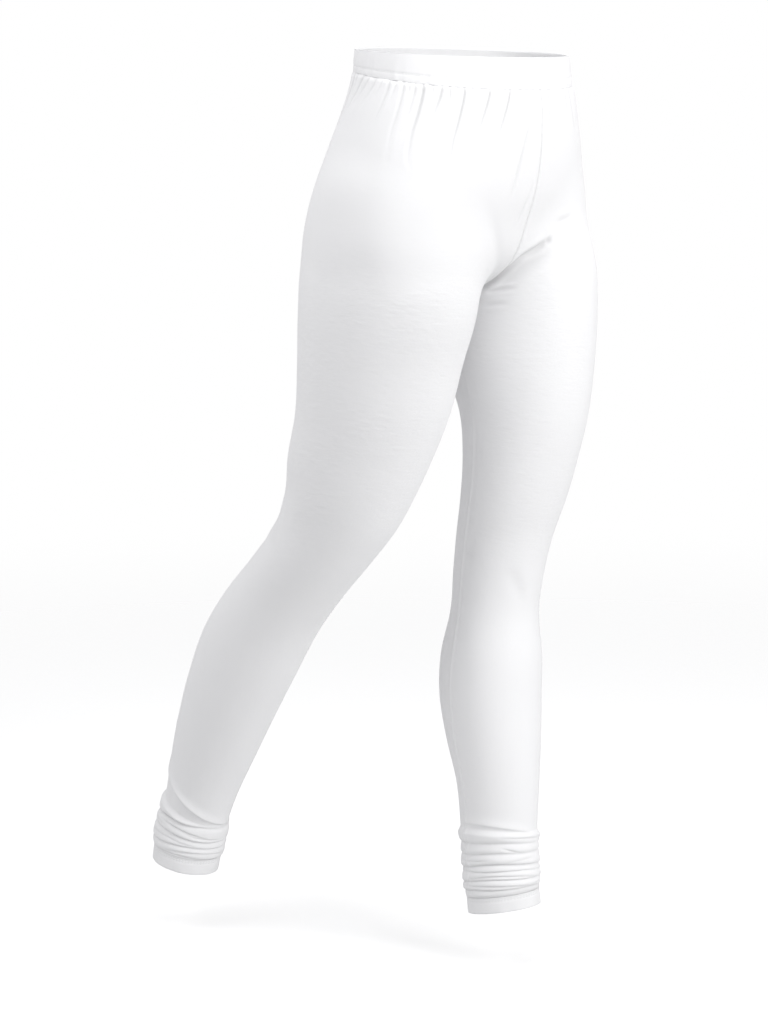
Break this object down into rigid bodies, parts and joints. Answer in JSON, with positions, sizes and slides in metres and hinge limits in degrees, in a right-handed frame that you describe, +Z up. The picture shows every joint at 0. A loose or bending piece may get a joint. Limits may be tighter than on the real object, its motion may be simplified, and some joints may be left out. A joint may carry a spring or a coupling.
{
  "type": "churidar pants",
  "caption": "Close-fitting churidar pants with a gathered elastic waistband and cloth bunched in folds at the ankles, in their worn walking form with nobody in them.",
  "frame": {"origin": "middle of the waistband, where the wearer's waist holds the garment", "axes": "+Z up, -Y the garment's front, +X the garment's own left"},
  "size_m": [0.3559, 0.5105, 0.9786],
  "materials": {
    "waistband": "matt cotton knit casing over elastic, gathered",
    "leg_right": "matt fine cotton and elastane knit",
    "leg_left": "matt fine cotton and elastane knit",
    "hem_right": "matt fine knit, turned and stitched",
    "hem_left": "matt fine knit, turned and stitched"
  },
  "bodies": {
    "root": {"waistband": "waistband", "leg_right": "leg_right", "leg_left": "leg_left", "hem_right": "hem_right", "hem_left": "hem_left"}
  },
  "joints": []
}
